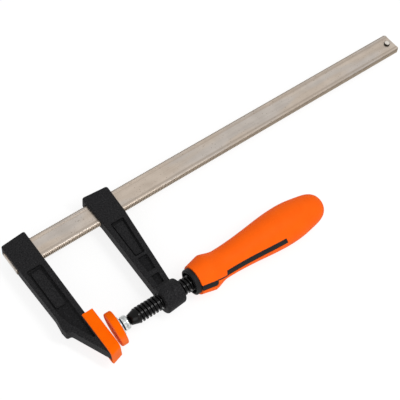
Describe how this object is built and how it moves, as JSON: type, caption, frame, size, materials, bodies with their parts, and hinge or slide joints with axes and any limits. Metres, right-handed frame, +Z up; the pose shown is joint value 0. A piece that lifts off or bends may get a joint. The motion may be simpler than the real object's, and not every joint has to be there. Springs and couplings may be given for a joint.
{
  "type": "quick release bar clamp",
  "caption": "Bar clamp with a fixed jaw, an arm that slides on a toothed bar, a screw spindle with a swivel pad and a two-tone straight handle.",
  "frame": {"origin": "centre of the fixed jaw's clamping face, at the spindle's height", "axes": "+X along the bar to its free end, the way the fixed clamping face looks, +Y from the spindle to the bar, +Z up through the flat side the clamp lies on"},
  "size_m": [0.4066, 0.1261, 0.033],
  "materials": {
    "bar_steel": "nickel plated, rolled, satin",
    "stud_steel": "bright, peened",
    "casting_black": "fine-grained black powder coat",
    "cap_orange": "soft plastic, smooth, satin",
    "screw_black": "blackened, oiled, glossy",
    "ring_steel": "spring wire",
    "swivel_zinc": "bright zinc plated",
    "core_black": "hard plastic with a fine grain",
    "grip_orange": "soft touch over-mould, satin"
  },
  "bodies": {
    "frame": {"bar": "bar_steel", "bar_stop_stud": "stud_steel", "fixed_jaw": "casting_black", "fixed_jaw_cap": "cap_orange"},
    "arm": {"sliding_arm": "casting_black"},
    "carrier": {"swivel_snap_ring": "ring_steel"},
    "pad": {"swivel_plate": "swivel_zinc", "pad_cap": "cap_orange"},
    "screw": {"spindle": "screw_black", "handle_core": "core_black", "handle_grip": "grip_orange"}
  },
  "joints": [
    {"name": "arm_slide", "type": "slide", "parent": "frame", "child": "arm", "axis": [1, 0, 0], "range_m": [0, 0.2995]},
    {"name": "spindle_feed", "type": "slide", "parent": "arm", "child": "carrier", "axis": [-0.9998, 0.0175, 0], "range_m": [-0.0286, 0.00155]},
    {"name": "spindle_turn", "type": "hinge", "parent": "carrier", "child": "screw", "pos_m": [0.01275, 0, 0], "axis": [-0.9998, 0.0175, 0], "range_deg": [-3432, 186]},
    {"name": "pad_tilt", "type": "hinge", "parent": "carrier", "child": "pad", "pos_m": [0.01275, 0, 0], "axis": [0, 0, 1], "range_deg": [-2, 7]}
  ],
  "couplings": [
    {"joint": "spindle_feed", "follows": "spindle_turn", "m_per_rad": 0.00047746}
  ]
}
